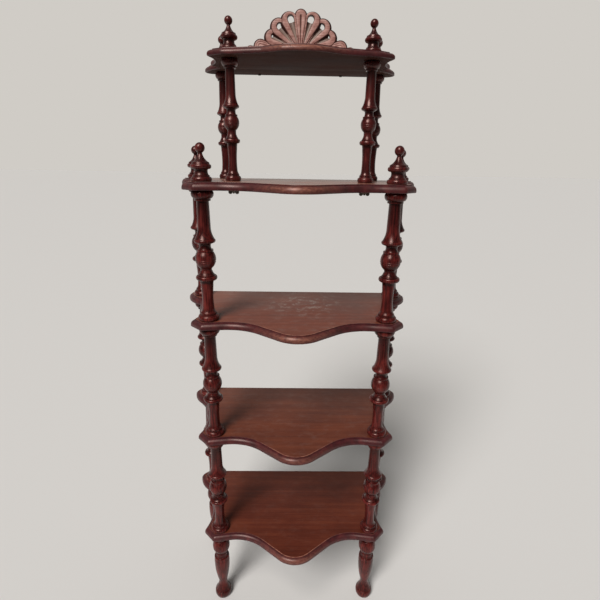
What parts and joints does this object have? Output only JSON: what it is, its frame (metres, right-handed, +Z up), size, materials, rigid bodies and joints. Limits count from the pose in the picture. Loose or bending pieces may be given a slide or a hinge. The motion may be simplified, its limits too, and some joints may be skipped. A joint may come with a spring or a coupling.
{
  "type": "etagere",
  "caption": "Tall wooden etagere: serpentine-edged shelves on turned baluster posts, a smaller top shelf with finials and a pierced fan crest.",
  "frame": {"origin": "on the floor under the middle of the width and depth, at the bottom centre of the bounding box", "axes": "+Z up, +X to the right of someone facing the piece, +Y to the back edge of the shelves"},
  "size_m": [0.7, 0.3839, 1.7975],
  "materials": {
    "turned_wood": "gloss",
    "shelf_wood": "semi-gloss",
    "carved_wood": "satin",
    "bolt_steel": "satin",
    "washer_steel": "satin",
    "nut_steel": "satin",
    "screw_steel": "satin"
  },
  "bodies": {
    "root": {"foot_front_left": "turned_wood", "foot_front_right": "turned_wood", "foot_back_left": "turned_wood", "foot_back_right": "turned_wood", "post_1_front_left": "turned_wood", "post_1_front_right": "turned_wood", "post_1_back_left": "turned_wood", "post_1_back_right": "turned_wood", "post_2_front_left": "turned_wood", "post_2_front_right": "turned_wood", "post_2_back_left": "turned_wood", "post_2_back_right": "turned_wood", "post_3_front_left": "turned_wood", "post_3_front_right": "turned_wood", "post_3_back_left": "turned_wood", "post_3_back_right": "turned_wood", "upper_post_front_left": "turned_wood", "upper_post_front_right": "turned_wood", "upper_post_back_left": "turned_wood", "upper_post_back_right": "turned_wood", "finial_front_left": "turned_wood", "finial_front_right": "turned_wood", "finial_back_left": "turned_wood", "finial_back_right": "turned_wood", "top_finial_front_left": "turned_wood", "top_finial_front_right": "turned_wood", "top_finial_back_left": "turned_wood", "top_finial_back_right": "turned_wood", "shelf_1": "shelf_wood", "shelf_2": "shelf_wood", "shelf_3": "shelf_wood", "shelf_4": "shelf_wood", "top_shelf": "shelf_wood", "shell_crest": "carved_wood", "hanger_bolts": "bolt_steel", "washers": "washer_steel", "wing_nuts": "nut_steel", "crest_screws": "screw_steel"}
  },
  "joints": []
}
